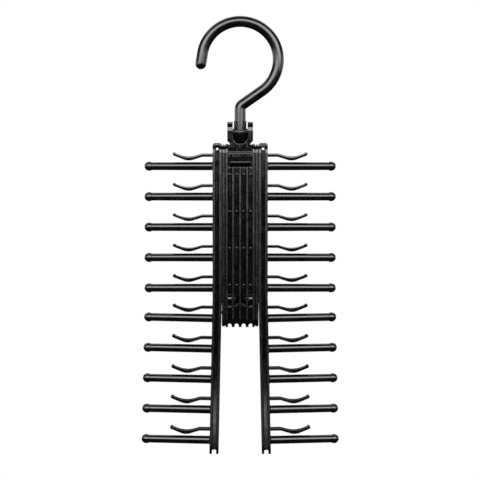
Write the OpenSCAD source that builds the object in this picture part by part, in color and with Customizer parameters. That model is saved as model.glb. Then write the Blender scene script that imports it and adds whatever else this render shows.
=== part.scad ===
// Folding tie hanger: a swivel hook over a ribbed post, with two pegged arms that open into an X.
// Millimetres. +Z is up, the front faces -Y, and the origin is where the hook rests on a closet rod.

/* [Hook] */
// Diameter of the hook's round rod
hook_rod_d = 8.4; // [6:0.1:9]
// Inside diameter of the hook's bend
hook_inner_d = 50; // [46:0.2:58]
// Straight length from the end of the bend to the centre of the rounded tip
hook_tip_len = 7.2; // [4:0.1:14]
// Angle by which the tip leans outwards from upright
hook_tip_lean = 9; // [4:1:15]
// Slope of the straight neck under the bend, from level
hook_neck_slope = 35; // [30:1:40]
// Inside radius of the elbow between the neck and the upright stem
hook_elbow_inner_r = 0.4; // [0.3:0.1:2]
// Height of the elbow's corner above the tilt axis
hook_stem_len = 19; // [17:0.1:30]
// Diameter of the stem's thin lower end, which turns in the knuckle
stem_neck_d = 4.6; // [3.6:0.1:5.2]
// Diameter of the snap head under the knuckle's bore
stem_head_d = 6.4; // [5.8:0.1:6.8]
// Height of the snap head
stem_head_h = 3.2; // [2:0.1:4]
// Depth of the snap head's top below the tilt axis
stem_head_drop = 3; // [2:0.1:4]

/* [Knuckle] */
// Width of the knuckle between the ears
knuckle_w = 11.4; // [10.4:0.1:14]
// Radius of the knuckle's full-width part round the tilt axis
knuckle_r = 6.4; // [5.6:0.1:6.6]
// Radius of the knuckle's narrow rim
knuckle_rim_r = 9.8; // [9:0.1:10.4]
// Width of the knuckle's narrow rim
knuckle_rim_w = 4.6; // [3:0.1:6]
// Depth of the ledge that the stem's shoulder stands on, below the tilt axis
ledge_drop = 0.3; // [0:0.1:0.6]
// Width of the cup round the stem
cup_w = 9.5; // [9.2:0.1:10.2]
// Height of the cup's top above the tilt axis
cup_h = 7.4; // [6.5:0.1:8.4]
// Depth of the cup in front of the stem's centre line
cup_front = 4.9; // [4.5:0.1:5.2]
// Depth of the cup behind the stem's centre line
cup_back = 6.2; // [5.4:0.1:6.6]
// Width of the cup's V-shaped mouth at the top
mouth_top_w = 7.5; // [6:0.1:7.8]
// Width of that mouth at the ledge
mouth_low_w = 1.9; // [1:0.1:4]
// Radius of the cup's rounded top edge at the back
cup_round_r = 2.4; // [1:0.1:3]
// Diameter of the two trunnions
trunnion_d = 3.6; // [3:0.1:5]

/* [Fork] */
// Thickness of each ear
ear_t = 4.05; // [3:0.05:5]
// Depth of the ears' straight sides below the tilt axis
ear_drop = 7.4; // [6.8:0.1:9]
// Height of the slope from the ears to the neck
fork_slope_h = 1.8; // [0.6:0.1:2]
// Width of the fork's neck
fork_neck_w = 15.7; // [14:0.1:18]
// Depth of the neck's front face behind the front of the ears
fork_neck_set_back = 1.5; // [1:0.1:2.2]
// Depth of the neck's underside below the tilt axis
fork_neck_drop = 13.2; // [12:0.1:14]
// Width of the fine seam rib down the neck, front and back
seam_w = 1; // [0.6:0.1:1.4]
// Amount by which the seam rib stands out
seam_h = 0.4; // [0.2:0.1:0.8]
// Thickness of the tongue that passes between the post's bridge and its back wall
tongue_t = 5; // [3.6:0.1:5.4]
// Amount by which the tongue's two collars stand out in front of it
collar_step = 2.2; // [1:0.1:3]
// Height of the barb at the tongue's foot
foot_h = 3.4; // [2:0.1:4.4]
// Height of the barb's blunt front edge
barb_edge_h = 0.7; // [0.4:0.1:1.2]

/* [Post] */
// Width of the post
post_w = 26.8; // [26.4:0.1:34]
// Distance from the post's middle to the inner face of each side member
side_in = 9.3; // [9:0.1:9.6]
// Depth of the post and of both arms from front to back
body_depth = 14; // [13:0.1:16]
// Depth of the post's top below the tilt axis
post_top_drop = 9.8; // [9:0.1:12]
// Length of the post below the axle
post_tail = 21.6; // [19:0.1:40]
// Width of the three inner ribs
rib_w = 2.2; // [1.6:0.1:2.6]
// Width of the flat top of the ribs and of the tall ridges
rib_flat_w = 1.2; // [0.8:0.1:1.4]
// Height of the sloped sides under that flat top
rib_slope_h = 0.9; // [0.4:0.1:1.2]
// Distance from rib to rib
rib_pitch = 5.35; // [5.2:0.05:5.6]
// Width of the tall ridge of each side member
ridge_w = 1.9; // [1.4:0.1:2.2]
// Width of the groove beside that ridge
groove_w = 0.7; // [0.4:0.1:1]
// Depth of that groove
groove_depth = 1.2; // [0.5:0.1:2]
// Amount by which the side member's outer ridge is lower than the tall one
skirt_step = 0.5; // [0:0.1:1]
// Depth of the slide face beside each arm behind the front of the post
slide_set_back = 3; // [2:0.1:5]
// Depth of that face's top below the post's top
slide_drop = 1.4; // [1:0.1:4]
// Height of that face's foot above the post's lowest point
slide_foot = 0.8; // [0.8:0.1:4]
// Thickness of the post's web
post_web_t = 1.6; // [1.2:0.1:3]
// Length by which the ribs' lower ends pass the web
rib_overhang = 2.7; // [1:0.1:5]
// Height of the open window at the top of the post
head_window_h = 18; // [17.6:0.1:22]
// Depth of the bridge's top below the post's top
bridge_drop = 6.1; // [5:0.1:7]
// Height of the bridge
bridge_h = 4.6; // [3.6:0.1:5]
// Depth of the bridge's front face behind the post's front
bridge_set_back = 1.5; // [1:0.1:2]
// Height of the thin lip along the bridge's top
bridge_lip_h = 0.7; // [0.4:0.1:1]
// Depth of the lip's face behind the bridge's front face
bridge_lip_set_back = 0.3; // [0:0.1:0.8]
// Height of the groove under that lip
bridge_groove_h = 0.5; // [0.3:0.1:0.8]
// Depth of that groove's floor behind the bridge's front face
bridge_groove_depth = 1; // [0.6:0.1:1.2]
// Depth of the cheeks beside the fork's neck below the post's top
cheek_drop = 0.5; // [0.2:0.1:2]
// Thickness of the wall behind the tongue
back_wall_t = 1.8; // [1.2:0.1:2.2]
// Depth of that wall's rear face behind the post's middle
back_wall_y = 6; // [5.8:0.1:6.4]
// Radius of the two round pockets that the axle's ends lie in
pocket_r = 6.1; // [5:0.1:6.4]
// Thickness of the centre rib where the round pockets meet it
centre_rib_waist = 1; // [0.6:0.1:1.4]
// Height of the thick hub that the pockets are sunk in
hub_h = 17; // [15:0.2:24]
// Thickness of the pockets' floor
hub_floor_t = 1.6; // [1:0.1:2]
// Diameter of the ejector marks in the grooves between the ribs
mark_d = 1.7; // [1:0.1:2.2]
// Height of the ejector marks
mark_h = 0.4; // [0.2:0.1:0.8]
// Height of the lowest marks above the axle
mark_low_rise = 10.2; // [10:0.1:14]
// Depth of the highest marks below the ribs' tops
mark_top_drop = 5.8; // [2:0.1:9]
// Number of marks along each groove
mark_rows = 4; // [2:1:8]

/* [Arms] */
// Length of each arm
arm_len = 237.2; // [236:0.2:270]
// Width of each arm's H section
arm_w = 6.9; // [6:0.1:9]
// Thickness of the arm's flanges
flange_t = 1.8; // [1.2:0.1:2]
// Thickness of the arm's web
arm_web_t = 2.6; // [2:0.1:3.4]
// Amount by which the web is off the middle of the flanges
arm_web_shift = 1; // [0:0.1:1.6]
// Angle by which the arm's lower half leans outwards
splay = 1.2; // [0:0.1:2]
// Length of the flanges past the web at the foot of the arm
arm_foot_gap = 3.3; // [2:0.1:6]
// Diameter of the eye in the web under the crossbar
eye_d = 1.9; // [1.4:0.1:3]
// Distance from the arm's top to the middle of the eye
eye_drop = 3.8; // [3.4:0.1:6]
// Diameter of the crossbar between the flanges' tops
crossbar_d = 3; // [2:0.1:3.4]
// Height by which the crossbar stands above the flanges' tops
crossbar_rise = 0.6; // [0.2:0.1:1]
// Largest angle by which an arm opens
arm_open = 50; // [30:1:50]

/* [Axle and stops] */
// Diameter of the stub axle of each arm
axle_d = 6; // [4.5:0.1:6.4]
// Amount by which the axle's barb is larger in radius than its bore
barb_grip = 0.3; // [0.1:0.05:0.5]
// Diameter of the axle's small end
axle_tip_d = 3; // [2:0.1:3.6]
// Distance from the middle of the hanger to the axle's small end
axle_tip_x = 1; // [0.9:0.05:2]
// Width of the slit that lets the barb spring
axle_slit_w = 0.7; // [0.4:0.1:1]
// Diameter of the stop lugs on the post
lug_d = 2; // [1.4:0.1:2.2]
// Distance from the axle to the stop lugs
lug_r = 11.6; // [10.8:0.1:12]
// Length of a lug inside its slot
lug_reach = 0.9; // [0.4:0.1:1]

/* [Pegs] */
// Number of pegs on each arm
peg_count = 10; // [4:1:10]
// Distance from the arm's top to the first peg
peg_first_drop = 17.1; // [16:0.1:18]
// Distance from the last peg to the arm's foot
peg_last_rise = 10.7; // [8:0.1:24]
// Length of a peg from the arm to the end of its ball
peg_len = 52.2; // [44:0.2:70]
// Diameter of a peg at the arm
peg_root_d = 6.2; // [5.4:0.1:6.8]
// Diameter of a peg at its ball
peg_neck_d = 5.9; // [5:0.1:6.2]
// Diameter of the ball at the peg's end
peg_ball_d = 6.6; // [6.4:0.1:9]
// Radius of the fillet where a peg meets the arm
peg_fillet_r = 0.9; // [0.3:0.1:1]
// Thickness of the peg's flat tenon
tenon_t = 1.4; // [1:0.1:1.6]
// Height of the tenon
tenon_h = 4.6; // [3:0.1:5]
// Length of the tenon in the arm
tenon_len = 4.2; // [3:0.1:4.6]

/* [Clips] */
// Thickness of a spring finger
clip_t = 2.3; // [1.8:0.1:2.6]
// Depth of a finger from front to back
clip_depth = 6.4; // [4:0.1:9]
// Clear height between a peg and the root of its finger
clip_slot_h = 4.2; // [4.1:0.1:5]
// Height of the finger's lowest corner over the peg, before that corner is rounded
clip_nip_h = 0.75; // [0.6:0.05:1.2]
// Length of the finger's straight root
clip_straight_len = 8; // [7:0.1:11]
// Distance from the arm to the finger's lowest corner
clip_belly_out = 18.7; // [16:0.1:22]
// Thickness of the finger at that corner, before it is rounded
clip_belly_t = 2.6; // [2:0.1:3]
// Distance from the arm to the centre of the finger's rounded tip
clip_tip_out = 29.2; // [26:0.1:34]
// Height of the tip's centre over the peg
clip_tip_h = 6.2; // [5:0.1:8]
// Diameter of the finger's rounded tip
clip_tip_d = 2.6; // [2.4:0.1:3.4]
// Distance from the arm's face to the line that the finger flexes about
clip_hinge_out = 0.4; // [0.3:0.05:0.6]
// Radius under the finger where its root ends
clip_bend_low_r = 4; // [2:0.5:6]
// Radius over the finger where its root ends
clip_bend_top_r = 5; // [2:0.5:7]
// Radius of the belly's under side
clip_belly_low_r = 11; // [6:0.5:14]
// Radius of the belly's upper side
clip_belly_top_r = 20; // [10:0.5:26]
// Angle round the tip, from straight down, where the finger's under side runs into it
clip_tip_low_angle = 21; // [10:1:30]
// Angle round the tip, from level towards the arm, where the upper side runs into it
clip_tip_top_angle = 17; // [5:1:60]

/* [Clearances] */
// Radial clearance of a shaft in its bore
run_gap = 0.05; // [0.03:0.01:0.1]
// Clearance between fixed parts that fit together
fit_gap = 0.05; // [0.02:0.01:0.1]
// Clearance between faces that move past each other
side_gap = 0.3; // [0.2:0.05:0.5]
// Clearance between faces that slide on each other
slide_gap = 0.1; // [0.05:0.01:0.2]
// Space between the post's outer edges and each arm
arm_gap = 0.7; // [0.5:0.05:1]

/* [Hidden] */
$fn = 64;
COLOUR = [0.035, 0.035, 0.038];
COLOUR_ARM = [0.045, 0.045, 0.048];
far = 200;
// Length by which a shape is let into its neighbour, so that the two are one solid
joint_overlap = 0.5;
// Depth by which a finger's sides end inside its round tip
tip_let_in = 0.08;

// Heights, all from the rod seat
hook_r = hook_inner_d / 2 + hook_rod_d / 2;
hook_centre_z = -hook_inner_d / 2;
bend_end = hook_neck_slope - 90;
neck_top_x = hook_r * cos(bend_end);
neck_top_z = hook_centre_z + hook_r * sin(bend_end);
elbow_z = neck_top_z - neck_top_x * tan(hook_neck_slope);
tilt_z = elbow_z - hook_stem_len;
top_z = tilt_z - post_top_drop;
pivot_z = top_z - arm_len / 2;

// The hook's elbow
elbow_turn = 90 - hook_neck_slope;
elbow_r = hook_elbow_inner_r + hook_rod_d / 2;
elbow_tangent = elbow_r * tan(elbow_turn / 2);
bend_overlap = 0.2;
straight_d = hook_rod_d - 0.04;

// The fork, as deep from front to back as the post
ear_r = body_depth / 2;
fork_neck_depth = body_depth - 2 * fork_neck_set_back;
ear_gap = knuckle_w + 2 * run_gap;
fork_w = ear_gap + 2 * ear_t;
groove_bottom = knuckle_rim_r + side_gap;
bridge_z = -post_top_drop - bridge_drop;
bridge_low = bridge_z - bridge_h;
foot_z = bridge_low - (fork_neck_drop - post_top_drop);
tongue_back = back_wall_y - back_wall_t - fit_gap;
tongue_front = tongue_back - tongue_t;
collar_front = tongue_front - collar_step;

// The post
skirt_w = post_w / 2 - side_in - ridge_w - groove_w;
rib_top = -head_window_h;
pocket_x = pocket_r + centre_rib_waist / 2;
pivot_drop = arm_len / 2;
post_len = pivot_drop + post_tail;
mark_pitch = (pivot_drop - head_window_h - mark_low_rise - mark_top_drop) / (mark_rows - 1);

// The arms
arm_in = post_w / 2 + arm_gap;
arm_out = arm_in + arm_w;
arm_half = arm_len / 2;
crossbar_z = arm_half + crossbar_rise - crossbar_d / 2;
bore_r = axle_d / 2 + run_gap;
barb_r = bore_r + barb_grip;
rib_inner_face = rib_pitch - rib_w / 2;
lug_angle = arm_open / 2;
slot_spare = 1;

// The pegs and the clips, along an arm and out from it
peg_pitch = (arm_len - peg_first_drop - peg_last_rise) / (peg_count - 1);
peg_r = peg_root_d / 2;
rows = [for (i = [1 : peg_count]) i];
function row_z(i) = arm_half - peg_first_drop - (i - 1) * peg_pitch;
root_low = peg_r + clip_slot_h;
clip_axis_z = root_low + clip_t / 2;

function two_digits(i) = i < 10 ? str("0", i) : str(i);
function row_names(word) = [for (i = rows) str(word, two_digits(i))];

// Points of an open outline whose corners are rounded: each corner is [x, y, radius]
function unit(v) = v / norm(v);
function corner_arc(a, b, c, r, steps = 6) =
    let (u = unit(a - b), v = unit(c - b), half = acos(u * v) / 2)
    let (centre = b + unit(u + v) * r / sin(half))
    let (from = b + u * r / tan(half) - centre, to = b + v * r / tan(half) - centre)
    let (sweep = acos(unit(from) * unit(to)), turn = sign(from.x * to.y - from.y * to.x))
    [for (i = [0 : steps]) let (t = turn * sweep * i / steps)
        centre + [from.x * cos(t) - from.y * sin(t), from.x * sin(t) + from.y * cos(t)]];
function flat_point(p) = [p.x, p.y];
function rounded_line(corners) = concat(
    [flat_point(corners[0])],
    [for (i = [1 : len(corners) - 2]) each corner_arc(
        flat_point(corners[i - 1]), flat_point(corners[i]), flat_point(corners[i + 1]), corners[i].z)],
    [flat_point(corners[len(corners) - 1])]
);

// A bar along X from x0 to x1
module bar_x(d, x0, x1) {
    translate([x0, 0, 0]) rotate([0, 90, 0]) cylinder(d = d, h = x1 - x0);
}

// A bar along Y, centred
module bar_y(d, h) {
    rotate([90, 0, 0]) cylinder(d = d, h = h, center = true);
}

// An outline in X and Z, given a depth along Y and centred on it
module plate_y(depth) {
    rotate([90, 0, 0]) linear_extrude(depth, center = true) children();
}

// A slab across X with round ends, as seen from the side
module side_shape(depth, z0, z1, half_w) {
    translate([-half_w, -depth / 2, z0 + depth / 2]) cube([2 * half_w, depth, z1 - z0 - depth]);
    for (z = [z0 + depth / 2, z1 - depth / 2]) translate([0, 0, z]) bar_x(depth, -half_w, half_w);
}

// The hook: tip, bend, sloping neck, elbow, stem and snap head
module hook_arc(r, from, turn) {
    rotate([90, 0, 0]) rotate([0, 0, from]) rotate_extrude(angle = turn) translate([r, 0]) circle(d = hook_rod_d);
}

// A straight length of the hook, a hair thinner than the bends and let into them at both ends
module hook_straight(len) {
    translate([0, 0, -bend_overlap]) cylinder(d = straight_d, h = len + 2 * bend_overlap);
}

module hook() color(COLOUR) {
    tip_start = 180 - hook_tip_lean;
    neck_len = neck_top_x / cos(hook_neck_slope) - elbow_tangent;
    stem_top = elbow_z - elbow_tangent;
    shoulder = tilt_z - ledge_drop + run_gap;
    head_top = tilt_z - stem_head_drop;
    translate([0, 0, hook_centre_z]) {
        hook_arc(hook_r, bend_end, tip_start - bend_end);
        translate([hook_r * cos(tip_start), 0, hook_r * sin(tip_start)]) rotate([0, 180 + hook_tip_lean, 0]) {
            hook_straight(hook_tip_len);
            translate([0, 0, hook_tip_len + bend_overlap]) sphere(d = straight_d);
        }
    }
    translate([neck_top_x, 0, neck_top_z]) rotate([0, -90 - hook_neck_slope, 0]) hook_straight(neck_len);
    translate([elbow_r, 0, elbow_z - elbow_tangent]) hook_arc(elbow_r, 180 - elbow_turn, elbow_turn);
    translate([0, 0, shoulder]) cylinder(d = straight_d, h = stem_top + bend_overlap - shoulder);
    translate([0, 0, head_top]) cylinder(d = stem_neck_d, h = shoulder - head_top);
    translate([0, 0, head_top - stem_head_h])
        cylinder(d1 = stem_neck_d, d2 = stem_head_d, h = stem_head_h);
}

// The knuckle: a round body that tapers to a rim, a cup with a V-shaped mouth, two trunnions and the stem's bore
module knuckle_outline(gap) {
    rim = knuckle_rim_w / 2 + gap;
    wide = knuckle_w / 2 + gap;
    polygon([
        [0, -wide], [knuckle_r + gap, -wide], [knuckle_rim_r + gap, -rim],
        [knuckle_rim_r + gap, rim], [knuckle_r + gap, wide], [0, wide]
    ]);
}

module knuckle_round(gap) {
    rotate([0, 90, 0]) rotate_extrude() knuckle_outline(gap);
}

module cup_block() {
    low = -ledge_drop - joint_overlap;
    depth = cup_front + cup_back;
    difference() {
        union() {
            translate([-cup_w / 2, -cup_front, low]) cube([cup_w, depth - cup_round_r, cup_h - low]);
            translate([-cup_w / 2, -cup_front, low]) cube([cup_w, depth, cup_h - cup_round_r - low]);
            translate([0, cup_back - cup_round_r, cup_h - cup_round_r])
                bar_x(2 * cup_round_r, -cup_w / 2, cup_w / 2);
        }
        translate([0, -far / 2, 0]) plate_y(far) polygon([
            [-mouth_low_w / 2, -ledge_drop], [mouth_low_w / 2, -ledge_drop], [mouth_top_w / 2, cup_h],
            [mouth_top_w / 2, far], [-mouth_top_w / 2, far], [-mouth_top_w / 2, cup_h]
        ]);
    }
}

module knuckle() color(COLOUR) translate([0, 0, tilt_z]) {
    bore_d = stem_neck_d + 2 * run_gap;
    cavity_d = stem_head_d + 2 * side_gap;
    difference() {
        union() {
            difference() {
                knuckle_round(0);
                translate([-far / 2, -far / 2, -ledge_drop]) cube(far);
            }
            cup_block();
            bar_x(trunnion_d, -fork_w / 2 + side_gap, fork_w / 2 - side_gap);
        }
        translate([0, 0, -ledge_drop]) cylinder(d = hook_rod_d + 2 * run_gap, h = far);
        translate([0, 0, -far / 2]) cylinder(d = bore_d, h = far);
        translate([0, 0, -stem_head_drop + run_gap - far]) cylinder(d = cavity_d, h = far);
    }
}

// The fork: two ears, a socket for the knuckle, a neck, a collared tongue and a barbed foot. The socket is open
// to the front; behind the knuckle it follows the knuckle's round.
module fork_outline() {
    half = ear_gap / 2;
    rim = knuckle_rim_w / 2 + side_gap;
    bend = knuckle_r + side_gap;
    right = [
        [rim, -groove_bottom], [half, -bend], [half, ear_r],
        [fork_w / 2, ear_r], [fork_w / 2, -ear_drop], [fork_neck_w / 2, -ear_drop - fork_slope_h],
        [fork_neck_w / 2, -fork_neck_drop]
    ];
    n = len(right);
    polygon(concat(right, [for (i = [n - 1 : -1 : 0]) [-right[i].x, right[i].y]]));
}

module fork_side() {
    half = far / 2;
    bar_x(2 * ear_r, -half, half);
    translate([-half, -ear_r, -ear_drop]) cube([far, 2 * ear_r, ear_drop]);
    translate([-half, -fork_neck_depth / 2, -fork_neck_drop]) cube([far, fork_neck_depth, fork_neck_drop]);
}

// A block as wide as w, between two depths and two heights
module slab(w, y0, y1, z0, z1) {
    translate([-w / 2, y0, z0]) cube([w, y1 - y0, z1 - z0]);
}

module foot_barb() {
    front = -fork_neck_depth / 2;
    rotate([90, 0, 90]) linear_extrude(fork_neck_w, center = true) polygon([
        [front, foot_z], [tongue_front + joint_overlap, foot_z], [tongue_front + joint_overlap, foot_z - foot_h],
        [tongue_front, foot_z - foot_h], [front, foot_z - barb_edge_h]
    ]);
}

// The wall behind the knuckle
module socket_back() {
    difference() {
        intersection() {
            slab(ear_gap + 2 * joint_overlap, 0, far, -fork_neck_drop, -knuckle_r);
            fork_side();
        }
        knuckle_round(side_gap);
    }
}

module clevis() color(COLOUR) translate([0, 0, tilt_z]) {
    trunnion_bore = trunnion_d + 2 * run_gap;
    half = fork_neck_depth / 2;
    difference() {
        intersection() {
            plate_y(far) fork_outline();
            fork_side();
        }
        bar_x(trunnion_bore, -far / 2, far / 2);
    }
    socket_back();
    slab(seam_w, -half - seam_h, half + seam_h, -fork_neck_drop, -groove_bottom);
    slab(fork_neck_w, tongue_front, tongue_back, foot_z - foot_h, joint_overlap - fork_neck_drop);
    slab(fork_neck_w, collar_front, tongue_front + joint_overlap, bridge_z + fit_gap, joint_overlap - fork_neck_drop);
    slab(fork_neck_w, collar_front, tongue_front + joint_overlap, foot_z - joint_overlap, bridge_low - fit_gap);
    foot_barb();
}

// The post: side members, ribs, web, bridge, axle bores, stop lugs and ejector marks.
// A rib or ridge stands between two heights, w wide, with a narrower flat top at the front and at the back.
module crowned(x, w, z0, z1) {
    top_y = body_depth / 2;
    slope_y = top_y - rib_slope_h;
    flat_x = rib_flat_w / 2;
    intersection() {
        side_shape(body_depth, -post_len, 0, far / 2);
        translate([x, 0, z0]) linear_extrude(z1 - z0) polygon([
            [-flat_x, -top_y], [flat_x, -top_y], [w / 2, -slope_y], [w / 2, slope_y],
            [flat_x, top_y], [-flat_x, top_y], [-w / 2, slope_y], [-w / 2, -slope_y]
        ]);
    }
}

module side_member() {
    outer = post_w / 2;
    groove_out = outer - skirt_w;
    slide_r = body_depth / 2 - slide_set_back;
    crowned(side_in + ridge_w / 2, ridge_w, -post_len, 0);
    intersection() {
        side_shape(body_depth - 2 * groove_depth, -post_len + groove_depth, -groove_depth, far / 2);
        translate([side_in + joint_overlap, -far / 2, -far]) cube([ridge_w + groove_w, far, far]);
    }
    intersection() {
        side_shape(2 * slide_r, -post_len + slide_foot, -slide_drop, far / 2);
        translate([groove_out, -far / 2, -far]) cube([arm_in - slide_gap - groove_out, far, far]);
    }
    intersection() {
        side_shape(body_depth - 2 * skirt_step, -post_len + skirt_step, -skirt_step, far / 2);
        translate([groove_out, -far / 2, -far]) cube([skirt_w, far, far]);
    }
}

module rib(x) {
    crowned(x, rib_w, -post_len, rib_top);
}

module web_and_centre_rib() {
    groove_r = (rib_pitch - rib_w) / 2;
    web_low = -post_len + rib_overhang - groove_r;
    web_w = 2 * (side_in + joint_overlap);
    half_web = post_web_t / 2;
    pocket_floor = body_depth / 2 - groove_depth - hub_floor_t;
    difference() {
        union() {
            slab(web_w, -half_web, half_web, web_low, rib_top);
            slab(web_w, -half_web, pocket_floor + hub_floor_t, -pivot_drop - hub_h / 2, -pivot_drop + hub_h / 2);
            rib(0);
        }
        for (side = [-1, 1]) translate([side * pocket_x, pocket_floor, -pivot_drop])
            rotate([90, 0, 0]) cylinder(r = pocket_r, h = far);
        for (column = [-1.5, -0.5, 0.5, 1.5]) translate([column * rib_pitch, 0, web_low]) bar_y(2 * groove_r, far);
    }
}

// The bridge in front of the fork's tongue, and the wall and floor of the pocket behind and under it
module bridge() {
    inside_w = 2 * (side_in + joint_overlap);
    low = -bridge_drop - bridge_h;
    bar_top = -bridge_drop - bridge_lip_h - bridge_groove_h;
    front = bridge_set_back - body_depth / 2;
    back = tongue_front - fit_gap;
    wall_front = back_wall_y - back_wall_t;
    wall_top = post_top_drop - fork_neck_drop - fit_gap;
    cheek_in = fork_neck_w / 2 + fit_gap;
    slab(inside_w, front + bridge_lip_set_back, back, -bridge_drop - bridge_lip_h, -bridge_drop);
    slab(inside_w, front + bridge_groove_depth, back, low, -bridge_drop);
    slab(inside_w, front, back, low, bar_top);
    slab(inside_w, wall_front, back_wall_y, rib_top - back_wall_t, wall_top);
    slab(inside_w, 0, back_wall_y, rib_top - back_wall_t, rib_top);
    difference() {
        slab(inside_w, 0, back_wall_y, wall_top - joint_overlap, -cheek_drop);
        slab(2 * cheek_in, -far, far, -far, far);
    }
}

module ejector_marks() {
    for (column = [-1.5, -0.5, 0.5, 1.5]) for (row = [0 : mark_rows - 1])
        translate([column * rib_pitch, 0, -pivot_drop + mark_low_rise + row * mark_pitch])
            bar_y(mark_d, post_web_t + 2 * mark_h);
}

module stop_lug(side) {
    translate([0, lug_r * sin(lug_angle), -pivot_drop + side * lug_r * cos(lug_angle)])
        mirror([side < 0 ? 1 : 0, 0, 0]) bar_x(lug_d, post_w / 2 - joint_overlap, arm_in + lug_reach);
}

module post() color(COLOUR) translate([0, 0, top_z]) {
    web_and_centre_rib();
    bridge();
    ejector_marks();
    stop_lug(-1);
    stop_lug(1);
    difference() {
        union() {
            for (side = [-1, 1]) {
                rib(side * rib_pitch);
                mirror([side < 0 ? 1 : 0, 0, 0]) side_member();
            }
        }
        translate([0, 0, -pivot_drop]) bar_x(2 * bore_r, -far / 2, far / 2);
    }
}

// The left arm, drawn with its axle at height 0. The right arm is the same piece turned half round.
function shift_x(z) = z < 0 ? -z * tan(splay) : 0;

module strip(d0, d1, z0, z1) {
    a = -arm_in - d0;
    b = -arm_in - d1;
    plate_y(far) polygon([
        [a, z1], [a, 0], [a - shift_x(z0), z0],
        [b - shift_x(z0), z0], [b, 0], [b, z1]
    ]);
}

module on_row(i) {
    translate([-arm_out, 0, 0]) rotate([0, row_z(i) < 0 ? splay : 0, 0]) translate([0, 0, row_z(i)]) children();
}

module flanges() {
    intersection() {
        union() {
            strip(0, flange_t, -arm_half, arm_half);
            strip(arm_w - flange_t, arm_w, -arm_half, arm_half);
        }
        side_shape(body_depth, -arm_half, arm_half, far / 2);
    }
}

module arm_web() {
    low = -arm_half + arm_foot_gap;
    difference() {
        intersection() {
            strip(flange_t / 2, arm_w - flange_t / 2, low - arm_w / 2, crossbar_z);
            translate([-far, arm_web_shift - arm_web_t / 2, -far]) cube([far, arm_web_t, 2 * far]);
        }
        translate([-arm_in - arm_w / 2, 0, arm_half - eye_drop]) bar_y(eye_d, far);
        translate([-arm_in - arm_w / 2 - shift_x(low), 0, low - arm_w / 2]) bar_y(arm_w, far);
    }
}

module stub_axle() {
    shoulder = rib_inner_face - side_gap;
    difference() {
        union() {
            bar_x(axle_d, -arm_in - flange_t / 2, -shoulder);
            translate([-shoulder, 0, 0]) rotate([0, 90, 0])
                cylinder(r1 = barb_r, d2 = axle_tip_d, h = shoulder - axle_tip_x);
        }
        translate([-side_in + ridge_w, -far / 2, -axle_slit_w / 2]) cube([far, far, axle_slit_w]);
    }
}

module stop_slot() {
    width = lug_d + 2 * side_gap;
    reach = lug_angle + slot_spare;
    translate([-arm_in - flange_t, 0, 0]) rotate([90, 0, 90]) {
        for (middle = [-90, 90]) {
            rotate([0, 0, middle - reach]) rotate_extrude(angle = 2 * reach)
                translate([lug_r - width / 2, 0]) square([width, 2 * flange_t]);
            for (end = [-reach, reach]) rotate([0, 0, middle + end]) translate([lug_r, 0, 0])
                cylinder(d = width, h = 2 * flange_t);
        }
    }
}

module peg_pocket() {
    translate([-joint_overlap, arm_web_shift - tenon_t / 2 - fit_gap, -tenon_h / 2 - fit_gap])
        cube([tenon_len + fit_gap + joint_overlap, tenon_t + 2 * fit_gap, tenon_h + 2 * fit_gap]);
}

module clip_seat() {
    translate([-clip_hinge_out, 0, clip_axis_z]) bar_y(clip_t + 2 * run_gap, clip_depth + 2 * side_gap);
}

module rail() color(COLOUR_ARM) {
    difference() {
        union() {
            flanges();
            arm_web();
            translate([0, 0, crossbar_z])
                bar_x(crossbar_d, -arm_out + flange_t / 2, -arm_in - flange_t / 2);
        }
        stop_slot();
        for (i = rows) on_row(i) {
            peg_pocket();
            clip_seat();
        }
    }
    stub_axle();
}

// A peg: a tapered round bar that leaves the arm along -X, with a fillet, a ball end and a flat tenon
module peg_profile() {
    ball_r = peg_ball_d / 2;
    body_end = peg_len - ball_r;
    root = [for (a = [0 : 15 : 90]) [peg_r + peg_fillet_r * (1 - sin(a)), peg_fillet_r * (1 - cos(a))]];
    polygon(concat([[0, 0]], root, [[peg_neck_d / 2, body_end], [0, body_end]]));
    intersection() {
        translate([0, body_end]) circle(r = ball_r);
        translate([0, body_end - ball_r]) square([ball_r, 2 * ball_r]);
    }
}

module peg() color(COLOUR_ARM) {
    rotate([0, -90, 0]) rotate_extrude() peg_profile();
    translate([-joint_overlap, arm_web_shift - tenon_t / 2, -tenon_h / 2])
        cube([tenon_len + joint_overlap, tenon_t, tenon_h]);
}

// A spring finger: straight root, slope down to a rounded belly, slope up to a rounded tip
module clip_outline() {
    tip = [clip_tip_out, peg_r + clip_tip_h];
    tip_r = clip_tip_d / 2;
    belly_z = peg_r + clip_nip_h;
    end_r = tip_r - tip_let_in;
    low_end = tip + end_r * [sin(clip_tip_low_angle), -cos(clip_tip_low_angle)];
    high_end = tip + end_r * [-cos(clip_tip_top_angle), sin(clip_tip_top_angle)];
    low = rounded_line([
        [clip_hinge_out, root_low, 0], [clip_straight_len, root_low, clip_bend_low_r],
        [clip_belly_out, belly_z, clip_belly_low_r], [low_end.x, low_end.y, 0]
    ]);
    high = rounded_line([
        [clip_hinge_out, root_low + clip_t, 0], [clip_straight_len, root_low + clip_t, clip_bend_top_r],
        [clip_belly_out, belly_z + clip_belly_t, clip_belly_top_r], [high_end.x, high_end.y, 0]
    ]);
    polygon(concat(low, [for (i = [len(high) - 1 : -1 : 0]) high[i]]));
    translate([clip_hinge_out, clip_axis_z]) circle(d = clip_t);
    translate(tip) circle(r = tip_r);
}

module clip() color(COLOUR_ARM) {
    plate_y(clip_depth) mirror([1, 0]) clip_outline();
}

module on_left_arm() {
    translate([0, 0, pivot_z]) children();
}

module on_right_arm() {
    translate([0, 0, pivot_z]) rotate([0, 0, 180]) children();
}

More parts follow.
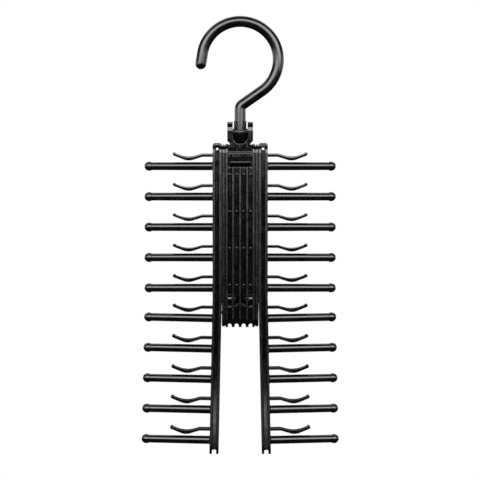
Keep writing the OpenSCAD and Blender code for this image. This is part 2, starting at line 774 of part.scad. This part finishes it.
hook();
knuckle();
clevis();
post();
on_left_arm() rail();  // left_rail
on_right_arm() rail();  // right_rail
for (i = rows) {
    on_left_arm() on_row(i) peg();
    on_right_arm() on_row(i) peg();
    on_left_arm() on_row(i) clip();
    on_right_arm() on_row(i) clip();
}
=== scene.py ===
import bpy
import numpy as np
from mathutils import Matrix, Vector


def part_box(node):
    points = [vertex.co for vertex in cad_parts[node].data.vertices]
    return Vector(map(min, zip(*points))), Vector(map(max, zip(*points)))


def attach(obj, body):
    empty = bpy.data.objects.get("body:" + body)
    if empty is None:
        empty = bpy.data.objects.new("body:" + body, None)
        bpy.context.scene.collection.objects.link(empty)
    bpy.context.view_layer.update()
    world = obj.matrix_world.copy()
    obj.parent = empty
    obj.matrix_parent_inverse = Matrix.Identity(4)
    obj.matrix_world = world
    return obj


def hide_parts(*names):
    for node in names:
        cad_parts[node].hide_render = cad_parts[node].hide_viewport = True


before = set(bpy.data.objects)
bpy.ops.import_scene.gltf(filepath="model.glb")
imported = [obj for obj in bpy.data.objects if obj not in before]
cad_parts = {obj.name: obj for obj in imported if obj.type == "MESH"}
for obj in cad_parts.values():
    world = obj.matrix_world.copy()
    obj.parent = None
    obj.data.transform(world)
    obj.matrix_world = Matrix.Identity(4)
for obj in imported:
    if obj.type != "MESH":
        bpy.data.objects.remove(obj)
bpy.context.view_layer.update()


# The closet hook: one round rod of gloss black plastic, moulded to shape. It has a ball-ended tip, a round
# bend, a sloping neck and an upright stem, whose thin neck and snap head turn in the knuckle.
# A fine mould line runs down the middle of its front and of its back.

ROD_R = 0.0042
BEND_R = 0.0292
BEND_START = 171
NECK_SLOPE = 35
TIP_LEN = 0.0079
ELBOW_R = 0.0046
TILT_AXIS_UP = 0.0098
TILT_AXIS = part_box("knuckle")[0][2] + TILT_AXIS_UP
STEM_NECK_R = 0.0023
SNAP_HEAD_R = 0.0032
# The stem's rings from the elbow down: height over the tilt axis, and radius.
STEM = np.array([
    (0.0115, ROD_R), (0.006, ROD_R), (0.003, ROD_R), (0.00001, 0.00418), (-0.00025, 0.0039),
    (-0.00025, STEM_NECK_R), (-0.0028, STEM_NECK_R), (-0.003, STEM_NECK_R), (-0.003, SNAP_HEAD_R),
    (-0.0062, STEM_NECK_R), (-0.0062, 0.0004)])
MOULD_LINE = 0.00005
MOULD_LINE_FOOT = TILT_AXIS + 0.008
NEARLY_ROD_R = 0.0041
DARKEST = (0.0012, 0.0012, 0.0013)
PALEST = (0.0026, 0.0026, 0.0028)


def spread(tree, value, from_low, from_high, to_low, to_high):
    """Carries a value in a straight line from one range to another, and holds it at both ends."""
    scale = tree.nodes.new("ShaderNodeMapRange")
    scale.inputs["From Min"].default_value = from_low
    scale.inputs["From Max"].default_value = from_high
    scale.inputs["To Min"].default_value = to_low
    scale.inputs["To Max"].default_value = to_high
    tree.links.new(value, scale.inputs["Value"])
    return scale.outputs["Result"]


def black_plastic(name, rough, cloud_size, ripple, ripple_size, edge=0.0, wear=0.0, handled=0.0):
    """A moulded black plastic. Soft clouds of about cloud_size metres take the colour from the darkest to the
    palest black and the roughness from rough[0] to rough[1]. A fine ripple of that depth and size bends the
    surface, and hairline scratches run up it. With an edge radius, the normal is rounded over corners and
    rubbed there by the amount wear. The outermost faces at the front and back are duller by handled."""
    scratch_size, scratch_stretch, scratch_dull = 0.0012, (1, 1, 18), 0.08
    touched_from, touched_to = 0.0058, 0.0066
    m = bpy.data.materials.new(name)
    m.use_nodes = True
    tree = m.node_tree
    nodes, links = tree.nodes, tree.links
    shader = nodes["Principled BSDF"]
    shader.inputs["IOR"].default_value = 1.5
    shader.inputs["Specular IOR Level"].default_value = 0.85
    place = nodes.new("ShaderNodeTexCoord").outputs["Object"]

    def noise(size, detail, stretch=(1, 1, 1)):
        """Noise whose patches are size metres across, times the stretch along each axis."""
        fit = nodes.new("ShaderNodeMapping")
        fit.inputs["Scale"].default_value = [1 / (size * s) for s in stretch]
        links.new(place, fit.inputs["Vector"])
        n = nodes.new("ShaderNodeTexNoise")
        n.inputs["Scale"].default_value = 1.0
        n.inputs["Detail"].default_value = detail
        links.new(fit.outputs["Vector"], n.inputs["Vector"])
        return n.outputs["Fac"]

    def add(a, b):
        """The sum of two values, held between 0 and 1."""
        s = nodes.new("ShaderNodeMath")
        s.operation = "ADD"
        s.use_clamp = True
        links.new(a, s.inputs[0])
        links.new(b, s.inputs[1])
        return s.outputs["Value"]

    clouds = noise(cloud_size, 3)
    scratches = spread(tree, noise(scratch_size, 2, scratch_stretch), 0.62, 0.7, 0, scratch_dull)
    roughness = add(spread(tree, clouds, 0.35, 0.65, *rough), scratches)
    tint = spread(tree, clouds, 0.4, 0.62, 0, 1)
    bump = nodes.new("ShaderNodeBump")
    bump.inputs["Distance"].default_value = ripple
    bump.inputs["Strength"].default_value = 1.0
    links.new(noise(ripple_size, 2), bump.inputs["Height"])
    if handled:
        apart = nodes.new("ShaderNodeSeparateXYZ")
        links.new(place, apart.inputs["Vector"])
        away = nodes.new("ShaderNodeMath")
        away.operation = "ABSOLUTE"
        links.new(apart.outputs["Y"], away.inputs[0])
        touched = spread(tree, away.outputs["Value"], touched_from, touched_to, 0, handled)
        roughness = add(roughness, touched)
    if edge:
        round_over = nodes.new("ShaderNodeBevel")
        round_over.samples = 8
        round_over.inputs["Radius"].default_value = edge
        links.new(round_over.outputs["Normal"], bump.inputs["Normal"])
        flat = nodes.new("ShaderNodeNewGeometry").outputs["True Normal"]
        turned = nodes.new("ShaderNodeVectorMath")
        turned.operation = "DOT_PRODUCT"
        links.new(round_over.outputs["Normal"], turned.inputs[0])
        links.new(flat, turned.inputs[1])
        rubbed = spread(tree, turned.outputs["Value"], 0.97, 0.8, 0, wear)
        roughness = add(roughness, rubbed)
        tint = add(tint, rubbed)
    colour = nodes.new("ShaderNodeMix")
    colour.data_type = "RGBA"
    colour.inputs["A"].default_value = (*DARKEST, 1)
    colour.inputs["B"].default_value = (*PALEST, 1)
    links.new(tint, colour.inputs["Factor"])
    links.new(colour.outputs["Result"], shader.inputs["Base Color"])
    links.new(roughness, shader.inputs["Roughness"])
    links.new(bump.outputs["Normal"], shader.inputs["Normal"])
    return m


def mesh_piece(name, points, faces, material, body, node):
    """A piece from its points and faces, smooth but for its sharp edges, which rides on a body."""
    sharp_from = np.radians(35)
    mesh = bpy.data.meshes.new(name)
    mesh.from_pydata(points.tolist(), [], faces)
    mesh.shade_smooth()
    mesh.set_sharp_from_angle(angle=sharp_from)
    mesh.materials.append(material)
    piece = bpy.data.objects.new(name, mesh)
    bpy.context.scene.collection.objects.link(piece)
    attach(piece, body)
    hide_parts(node)


def tube_faces(rings, around):
    """Quads between neighbouring rings of a closed tube, and a fan of triangles to a pole at each end.
    The points are the rings one after another, then the first pole, then the last."""
    i, j = np.meshgrid(np.arange(rings - 1), np.arange(around), indexing="ij")
    a, b = i * around + j, i * around + (j + 1) % around
    faces = np.stack([a, b, b + around, a + around], -1).reshape(-1, 4).tolist()
    k = np.arange(around)
    first, last = rings * around, rings * around + 1
    end = (rings - 1) * around
    faces += np.stack([np.full(around, first), (k + 1) % around, k], -1).tolist()
    faces += np.stack([np.full(around, last), end + k, end + (k + 1) % around], -1).tolist()
    return faces


def ring_angles(around, beside, narrow):
    """Even angles round a ring, with more of them beside its two mould lines, a quarter and three quarters of
    the way round, and how far each is raised: e to the minus square of (1 - |sine of the angle|) / narrow."""
    even = np.linspace(0, 2 * np.pi, around, endpoint=False)
    near = np.radians(beside)
    angle = np.unique(np.concatenate([even, np.pi / 2 + near, 1.5 * np.pi + near]))
    return angle, np.exp(-((np.abs(np.sin(angle)) - 1) / narrow) ** 2)


def hook_path():
    """The rod's middle line in X and Z, from the tip to the snap head, with the rod's radius at each point.
    A quarter circle of shrinking radius closes the tip; then come a straight line, an arc of BEND_R about the
    bend's centre, a straight neck along the arc's tangent, a small arc that turns upright, and the stem."""
    bend_z = ROD_R - BEND_R
    bend_end = NECK_SLOPE - 90
    start, slope = np.radians(BEND_START), np.radians(NECK_SLOPE)
    tip = np.array([BEND_R * np.cos(start), bend_z + BEND_R * np.sin(start)])
    down = np.array([-np.sin(start), np.cos(start)])
    quarter = np.linspace(0, np.pi / 2, 12)[1:]
    ball = tip + down * (TIP_LEN + ROD_R * np.cos(quarter[:, None]))
    straight = tip + down * np.linspace(TIP_LEN, 0, 8)[1:, None]
    t = np.radians(np.linspace(BEND_START, bend_end, 110))[1:, None]
    bend = np.hstack([BEND_R * np.cos(t), bend_z + BEND_R * np.sin(t)])
    along = -np.array([np.cos(slope), np.sin(slope)])
    corner = bend[-1] + along * bend[-1][0] / np.cos(slope)
    tangent = ELBOW_R * np.tan(np.radians(-bend_end / 2))
    neck_len = np.linalg.norm(corner - bend[-1]) - tangent
    neck = bend[-1] + along * np.linspace(0, neck_len, 14)[1:, None]
    t = np.radians(np.linspace(180 + bend_end, 180, 16))[1:, None]
    elbow = np.hstack([ELBOW_R + ELBOW_R * np.cos(t), corner[1] - tangent + ELBOW_R * np.sin(t)])
    stem = np.stack([np.zeros(len(STEM)), TILT_AXIS + STEM[:, 0]], -1)
    line = np.vstack([ball, straight, bend, neck, elbow, stem])
    radius = np.full(len(line), ROD_R)
    radius[:len(ball)] = ROD_R * np.sin(quarter)
    radius[-len(STEM):] = STEM[:, 1]
    return line, radius


def swept_rod(line, radius):
    """A round rod round a line in the XZ plane. Each ring stands square to the line: in-plane normal times
    cosine plus Y times sine, times the radius, which the mould line raises at the front and the back."""
    pole_out = 0.00003
    step = np.gradient(line, axis=0)
    step[-len(STEM):] = (0, -1)
    step /= np.linalg.norm(step, axis=1)[:, None]
    side = np.stack([-step[:, 1], step[:, 0]], -1)
    angle, raised = ring_angles(72, [-7, -4.5, -2.5, 2.5, 4.5, 7], 0.0022)
    has_line = (radius > NEARLY_ROD_R) & (line[:, 1] > MOULD_LINE_FOOT)
    r = radius[:, None] + MOULD_LINE * raised * has_line[:, None]
    x = line[:, 0, None] + side[:, 0, None] * r * np.cos(angle)
    z = line[:, 1, None] + side[:, 1, None] * r * np.cos(angle)
    y = -r * np.sin(angle)
    rings = np.stack([x, y, z], -1)
    poles = np.array([[line[0, 0], 0, line[0, 1]], [line[-1, 0], 0, line[-1, 1]]])
    poles[0, ::2] -= step[0] * pole_out
    return np.vstack([rings.reshape(-1, 3), poles]), tube_faces(len(line), len(angle))


HOOK_PLASTIC = black_plastic("hook_plastic", rough=(0.17, 0.27), cloud_size=0.006,
                             ripple=0.000010, ripple_size=0.0016)
points, faces = swept_rod(*hook_path())
mesh_piece("closet_hook", points, faces, HOOK_PLASTIC, "hook", "hook")


# The knuckle, the fork and the post: three mouldings in the same black plastic. The knuckle holds the hook's
# stem and tilts on two trunnions in the fork's ears; the fork's tongue snaps in under the post's bridge.
# Their faces come out smoother than the hook, and the post's outermost ones are dulled by handling.

KNUCKLE_EDGE = 0.0003
KNUCKLE_BODY_EDGE = 0.0019
EDGE_CHANGE = 0.0002


def finish_solid(node, material):
    """Gives a CAD solid that is shown as it is a material of its own."""
    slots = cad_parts[node].data.materials
    slots.clear()
    slots.append(material)


KNUCKLE_PLASTIC = black_plastic("knuckle_plastic", rough=(0.04, 0.07), cloud_size=0.004,
                                ripple=0.000002, ripple_size=0.0012, edge=KNUCKLE_EDGE, wear=0.03)
# The knuckle's edges are rounded more from just under the tilt axis down, where its round body is.
tree = KNUCKLE_PLASTIC.node_tree
apart = tree.nodes.new("ShaderNodeSeparateXYZ")
tree.links.new(tree.nodes["Texture Coordinate"].outputs["Object"], apart.inputs["Vector"])
edge_by_height = spread(tree, apart.outputs["Z"], TILT_AXIS - EDGE_CHANGE, TILT_AXIS,
                        KNUCKLE_BODY_EDGE, KNUCKLE_EDGE)
tree.links.new(edge_by_height, tree.nodes["Bevel"].inputs["Radius"])
finish_solid("knuckle", KNUCKLE_PLASTIC)

FORK_PLASTIC = black_plastic("fork_plastic", rough=(0.06, 0.09), cloud_size=0.004,
                             ripple=0.000003, ripple_size=0.0012, edge=0.0004, wear=0.04)
finish_solid("clevis", FORK_PLASTIC)

POST_PLASTIC = black_plastic("post_plastic", rough=(0.08, 0.13), cloud_size=0.005,
                             ripple=0.000003, ripple_size=0.0018, edge=0.0006, wear=0.08, handled=0.09)
finish_solid("post", POST_PLASTIC)


# The two arms: H-section rails in gloss black plastic, moulded alike and set half a turn apart. Each turns
# on a stub axle that snaps into the post's hub, and carries ten pegs and ten spring fingers on its outside.

RAIL_PLASTIC = black_plastic("rail_plastic", rough=(0.08, 0.13), cloud_size=0.006,
                             ripple=0.000003, ripple_size=0.0020, edge=0.0007, wear=0.08, handled=0.09)
for node in ("left_rail", "right_rail"):
    finish_solid(node, RAIL_PLASTIC)


# The tie pegs: twenty round bars of black plastic with a ball end and a small fillet where they meet the
# rail. Each is held by a flat tenon that stays unseen in the rail. The mould parts along the pegs' top and
# bottom, where it leaves a fine line.

ROW_COUNT = 10
ROWS = range(1, ROW_COUNT + 1)
FIRST_ROW = 0.1015
ROW_PITCH = 0.2094 / (ROW_COUNT - 1)
SPLAY = np.radians(1.2)
ARM_FACE = 0.0210
PIVOT_UP = 0.1186
PIVOT_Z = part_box("left_rail")[0][2] + PIVOT_UP
PEG_LEN = 0.0522
PEG_R = 0.0031
PEG_END_R = 0.00295
PEG_FILLET = 0.0009
PEG_IN_RAIL = 0.0002
BALL_R = 0.0035
BALL_HALF_LEN = 0.0037
BALL_RUN_IN = 0.0019
BALL_FROM, BALL_TO = 117, 3
PEG_LINE = 0.00003
PEG_LINE_R = 0.0015


def row_height(row):
    """Height of a row of pegs over the axle: that of the first row, less one pitch for each row after it."""
    return FIRST_ROW - ROW_PITCH * (row - 1)


def put_on_arm(points, side, row):
    """Moves points drawn at the left arm's face, with -X outwards, to their row. The rows below the axle turn
    about it with the splayed half of the arm: X is x cosine plus z sine, and Z is z cosine less x sine. The
    right arm is the left one turned half round, so its X and Y change sign."""
    turn = SPLAY if row_height(row) < 0 else 0.0
    x, y, z = points[:, 0], points[:, 1], points[:, 2] + row_height(row)
    across = x * np.cos(turn) + z * np.sin(turn) - ARM_FACE
    up = z * np.cos(turn) - x * np.sin(turn) + PIVOT_Z
    out = np.stack([across, y, up], -1)
    return out * (-1, -1, 1) if side == "right" else out


def tie_peg():
    """A profile of distance and radius turned about the peg's axis: a quarter-circle fillet, a slow taper, a
    short hollow run-in, and an arc of the slightly long ball up to its pole. The mould line raises the radius
    at the top and bottom."""
    t = np.linspace(0, np.pi / 2, 9)
    fillet = np.stack([PEG_FILLET * (1 - np.cos(t)), PEG_R + PEG_FILLET * (1 - np.sin(t))], -1)
    ball_x = PEG_LEN - BALL_HALF_LEN
    distance = np.linspace(PEG_FILLET, ball_x - BALL_RUN_IN, 30)
    bar = np.stack([distance, np.linspace(PEG_R, PEG_END_R, 30)], -1)[1:]
    t = np.radians(np.linspace(BALL_FROM, BALL_TO, 26))
    ball = np.stack([ball_x + BALL_HALF_LEN * np.cos(t), BALL_R * np.sin(t)], -1)
    profile = np.vstack([[[-PEG_IN_RAIL, PEG_R + PEG_FILLET]], fillet, bar, ball])
    angle, raised = ring_angles(56, [-7, -4, 4, 7], 0.0030)
    has_line = (profile[:, 1] > PEG_LINE_R) & (profile[:, 0] > PEG_FILLET)
    r = profile[:, 1, None] + PEG_LINE * raised * has_line[:, None]
    x = np.broadcast_to(-profile[:, 0, None], r.shape)
    rings = np.stack([x, r * np.cos(angle), -r * np.sin(angle)], -1)
    poles = np.array([[PEG_IN_RAIL, 0, 0], [-PEG_LEN, 0, 0]])
    return np.vstack([rings.reshape(-1, 3), poles]), tube_faces(len(profile), len(angle))


PEG_PLASTIC = black_plastic("peg_plastic", rough=(0.13, 0.20), cloud_size=0.008,
                            ripple=0.000008, ripple_size=0.0018)
points, faces = tie_peg()
for side in ("left", "right"):
    for row in ROWS:
        mesh_piece("tie_peg_%s_%02d" % (side, row), put_on_arm(points, side, row), faces, PEG_PLASTIC,
                   side + "_arm", "%s_peg_%02d" % (side, row))


# The spring fingers: a thin strip of black plastic over each peg, which grows from the rail, dips to a
# rounded belly and rises to a rounded tip, so that a tie can be pushed in under it. Their long edges are
# rounded where the mould's halves meet.

FINGER_DEPTH = 0.0064
FINGER_EDGE = 0.0003
FINGER_ROOT = 0.0004
FINGER_LOW = 0.0073
FINGER_HIGH = 0.0096
SHOULDER = 0.0080
SHOULDER_LOW_R, SHOULDER_HIGH_R = 0.004, 0.005
BELLY = 0.0187
BELLY_LOW, BELLY_HIGH = 0.00385, 0.00645
BELLY_LOW_R, BELLY_HIGH_R = 0.011, 0.020
FINGER_TIP = np.array([0.0292, 0.0093])
FINGER_TIP_R = 0.0013
TIP_LOW_TURN, TIP_HIGH_TURN = np.radians(21), np.radians(17)


def bent_line(corners, steps=10):
    """A line through corners (x, z, radius) in which each corner is an arc that touches both its legs. The
    arc's centre is on the line that halves the corner, at its radius over the sine of half the angle."""
    out = [np.array(corners[0][:2])]
    for before, here, after in zip(corners, corners[1:], corners[2:]):
        p = np.array(here[:2])
        u, v = np.array(before[:2]) - p, np.array(after[:2]) - p
        u, v = u / np.linalg.norm(u), v / np.linalg.norm(v)
        half = np.arccos(u @ v) / 2
        centre = p + (u + v) / np.linalg.norm(u + v) * here[2] / np.sin(half)
        first = p + u * here[2] / np.tan(half) - centre
        turn = np.sign(u[1] * v[0] - u[0] * v[1]) * (np.pi - 2 * half)
        t = np.linspace(0, turn, steps)[:, None]
        out += list(centre + first * np.cos(t) + np.array([-first[1], first[0]]) * np.sin(t))
    out.append(np.array(corners[-1][:2]))
    return np.array(out)


def even_points(line, count):
    """The same line with its points evenly spaced along it, each found from its distance along the line."""
    s = np.concatenate([[0], np.cumsum(np.linalg.norm(np.diff(line, axis=0), axis=1))])
    t = np.linspace(0, s[-1], count)
    return np.stack([np.interp(t, s, line[:, k]) for k in (0, 1)], -1)


def finger_outline():
    """The strip seen from the front, in X and Z: along the under side, round the tip, back along the upper
    side and round the root, which is a half circle. It starts at the middle of the root."""
    low_end = FINGER_TIP + FINGER_TIP_R * np.array([np.sin(TIP_LOW_TURN), -np.cos(TIP_LOW_TURN)])
    high_end = FINGER_TIP + FINGER_TIP_R * np.array([-np.cos(TIP_HIGH_TURN), np.sin(TIP_HIGH_TURN)])
    low = bent_line([(FINGER_ROOT, FINGER_LOW, 0), (SHOULDER, FINGER_LOW, SHOULDER_LOW_R),
                     (BELLY, BELLY_LOW, BELLY_LOW_R), (*low_end, 0)])
    high = bent_line([(FINGER_ROOT, FINGER_HIGH, 0), (SHOULDER, FINGER_HIGH, SHOULDER_HIGH_R),
                      (BELLY, BELLY_HIGH, BELLY_HIGH_R), (*high_end, 0)])
    low, high = even_points(low, 64), even_points(high, 64)
    start = np.arctan2(*(low[-1] - FINGER_TIP)[::-1])
    end = np.arctan2(*(high[-1] - FINGER_TIP)[::-1])
    t = np.linspace(start, end, 18)[1:-1, None]
    round_tip = FINGER_TIP + FINGER_TIP_R * np.hstack([np.cos(t), np.sin(t)])
    t = np.linspace(np.pi / 2, 1.5 * np.pi, 16)[1:-1, None]
    root_r = (FINGER_HIGH - FINGER_LOW) / 2
    root = np.array([FINGER_ROOT, FINGER_LOW + root_r])
    round_root = root + root_r * np.hstack([np.cos(t), np.sin(t)])
    return np.roll(np.vstack([low, round_tip, high[::-1], round_root]), len(round_root) // 2, axis=0)


def spring_finger():
    """The outline given a depth along Y. A quarter circle of FINGER_EDGE rounds each long edge: a ring at
    FINGER_EDGE times (1 - cosine) from the side is drawn in by FINGER_EDGE times (1 - sine). The two sides
    are closed by quads across the strip."""
    outline = finger_outline()
    ahead = np.roll(outline, -1, axis=0) - np.roll(outline, 1, axis=0)
    inward = np.stack([-ahead[:, 1], ahead[:, 0]], -1) / np.linalg.norm(ahead, axis=1)[:, None]
    t = np.linspace(0, np.pi / 2, 6)
    half = FINGER_DEPTH / 2
    from_side = FINGER_EDGE * (1 - np.cos(t))
    drawn_in = FINGER_EDGE * (1 - np.sin(t))
    inset = np.concatenate([drawn_in, drawn_in[::-1]])
    depth = np.concatenate([-half + from_side, half - from_side[::-1]])
    flat = outline[None] + inset[:, None, None] * inward[None]
    rings = np.stack([-flat[..., 0], np.broadcast_to(depth[:, None], flat.shape[:2]), flat[..., 1]], -1)
    n, count = len(outline), len(depth)
    i, j = np.meshgrid(np.arange(count - 1), np.arange(n), indexing="ij")
    a, b = i * n + j, i * n + (j + 1) % n
    faces = np.stack([a, b, b + n, a + n], -1).reshape(-1, 4).tolist()
    k = np.arange(n // 2 - 1)
    cap = np.stack([k, k + 1, n - 2 - k, n - 1 - k], -1)
    faces += cap[:, ::-1].tolist() + (cap + (count - 1) * n).tolist()
    return rings.reshape(-1, 3), faces


FINGER_PLASTIC = black_plastic("finger_plastic", rough=(0.07, 0.12), cloud_size=0.004,
                               ripple=0.000005, ripple_size=0.0014)
points, faces = spring_finger()
for side in ("left", "right"):
    for row in ROWS:
        mesh_piece("spring_finger_%s_%02d" % (side, row), put_on_arm(points, side, row), faces,
                   FINGER_PLASTIC, "%s_finger_%02d" % (side, row),
                   "%s_clip_%02d" % (side, row))


# The studio: a round pale floor well below the hanging part, soft lights and a white surround that only the
# camera sees. A wide light in front and above has a narrow strip to its right; there is one at each side, a
# small low one in front, two weak ones behind at the sides, and one high behind.

FLOOR_R = 0.7
FLOOR_Z = -0.52
FLOOR_RINGS = 13
FLOOR_SPOKES = 72
VIEW_CENTRE = (-0.00012, 0.0, -0.1630)
VIEW_WIDTH = 0.3672
CAMERA_DISTANCE = 1.2


def round_floor():
    """A disc of rings and spokes about the part's axis: X is radius times cosine, Y is radius times sine."""
    r = np.linspace(0, FLOOR_R, FLOOR_RINGS + 1)[1:, None]
    t = np.linspace(0, 2 * np.pi, FLOOR_SPOKES, endpoint=False)[None]
    height = np.full((FLOOR_RINGS, FLOOR_SPOKES), FLOOR_Z)
    rings = np.stack([r * np.cos(t), r * np.sin(t), height], -1).reshape(-1, 3)
    i, j = np.meshgrid(np.arange(FLOOR_RINGS - 1), np.arange(FLOOR_SPOKES), indexing="ij")
    a, b = i * FLOOR_SPOKES + j, i * FLOOR_SPOKES + (j + 1) % FLOOR_SPOKES
    faces = np.stack([a, a + FLOOR_SPOKES, b + FLOOR_SPOKES, b], -1).reshape(-1, 4).tolist()
    k = np.arange(FLOOR_SPOKES)
    middle = np.full(FLOOR_SPOKES, len(rings))
    faces += np.stack([middle, k, (k + 1) % FLOOR_SPOKES], -1).tolist()
    mesh = bpy.data.meshes.new("floor")
    mesh.from_pydata(np.vstack([rings, [[0, 0, FLOOR_Z]]]).tolist(), [], faces)
    return mesh


floor = bpy.data.objects.new("floor", round_floor())
bpy.context.scene.collection.objects.link(floor)
floor.visible_glossy = False
paper = bpy.data.materials.new("floor_paper")
paper.use_nodes = True
paper_shader = paper.node_tree.nodes["Principled BSDF"]
paper_shader.inputs["Base Color"].default_value = (0.82, 0.82, 0.83, 1)
paper_shader.inputs["Roughness"].default_value = 0.9
paper_shader.inputs["Specular IOR Level"].default_value = 0.1
floor.data.materials.append(paper)


def soft_light(name, width, height, bearing, rise, distance, level):
    """A rectangular light that faces the part from a bearing (degrees from the front, positive to the right)
    and a rise over the horizon. It shows in reflections but not to the camera. Level is how bright its face
    is: the light's power is level times pi times its area."""
    a, e = np.radians((bearing, rise))
    lamp = bpy.data.lights.new(name, "AREA")
    lamp.shape = "RECTANGLE"
    lamp.size, lamp.size_y = width, height
    lamp.energy = level * np.pi * width * height
    holder = bpy.data.objects.new(name, lamp)
    towards = np.array([np.sin(a) * np.cos(e), -np.cos(a) * np.cos(e), np.sin(e)])
    holder.location = np.array(VIEW_CENTRE) + distance * towards
    holder.rotation_euler = (np.radians(90 - rise), 0, a)
    holder.visible_camera = False
    bpy.context.scene.collection.objects.link(holder)


soft_light("front_light", width=7.2, height=2.155, bearing=0, rise=26.25, distance=3.0, level=4.8)
soft_light("strip_light", width=0.10, height=1.4, bearing=36, rise=27, distance=1.5, level=3.0)
soft_light("left_light", width=2.6, height=0.5, bearing=-85, rise=8, distance=1.3, level=1.1)
soft_light("right_light", width=2.6, height=0.5, bearing=85, rise=8, distance=1.3, level=0.8)
soft_light("low_light", width=0.095, height=0.05, bearing=0, rise=-13.4, distance=1.1, level=2.2)
soft_light("back_left_light", width=1.4, height=0.7, bearing=-128, rise=8, distance=1.5, level=0.5)
soft_light("back_right_light", width=1.4, height=0.7, bearing=128, rise=8, distance=1.5, level=0.4)
soft_light("back_light", width=3.6, height=1.2, bearing=188, rise=58, distance=2.0, level=1.5)

world = bpy.data.worlds.new("studio")
bpy.context.scene.world = world
world.use_nodes = True
nodes, links = world.node_tree.nodes, world.node_tree.links
surround = nodes["Background"]
surround.inputs["Color"].default_value = (0.9, 0.93, 1.0, 1)
surround.inputs["Strength"].default_value = 0.02
white = nodes.new("ShaderNodeBackground")
white.inputs["Strength"].default_value = 1.0
white.inputs["Color"].default_value = (1, 1, 1, 1)
seen = nodes.new("ShaderNodeLightPath")
mix = nodes.new("ShaderNodeMixShader")
links.new(seen.outputs["Is Camera Ray"], mix.inputs["Fac"])
links.new(surround.outputs["Background"], mix.inputs[1])
links.new(white.outputs["Background"], mix.inputs[2])
links.new(mix.outputs["Shader"], nodes["World Output"].inputs["Surface"])

lens = bpy.data.cameras.new("camera")
lens.sensor_width = 36
lens.lens = 36 * CAMERA_DISTANCE / VIEW_WIDTH
lens.clip_end = 20
camera = bpy.data.objects.new("camera", lens)
camera.location = (VIEW_CENTRE[0], -CAMERA_DISTANCE, VIEW_CENTRE[2])
camera.rotation_euler = (np.radians(90), 0, 0)
bpy.context.scene.collection.objects.link(camera)
bpy.context.scene.camera = camera
bpy.context.scene.view_settings.view_transform = "Standard"
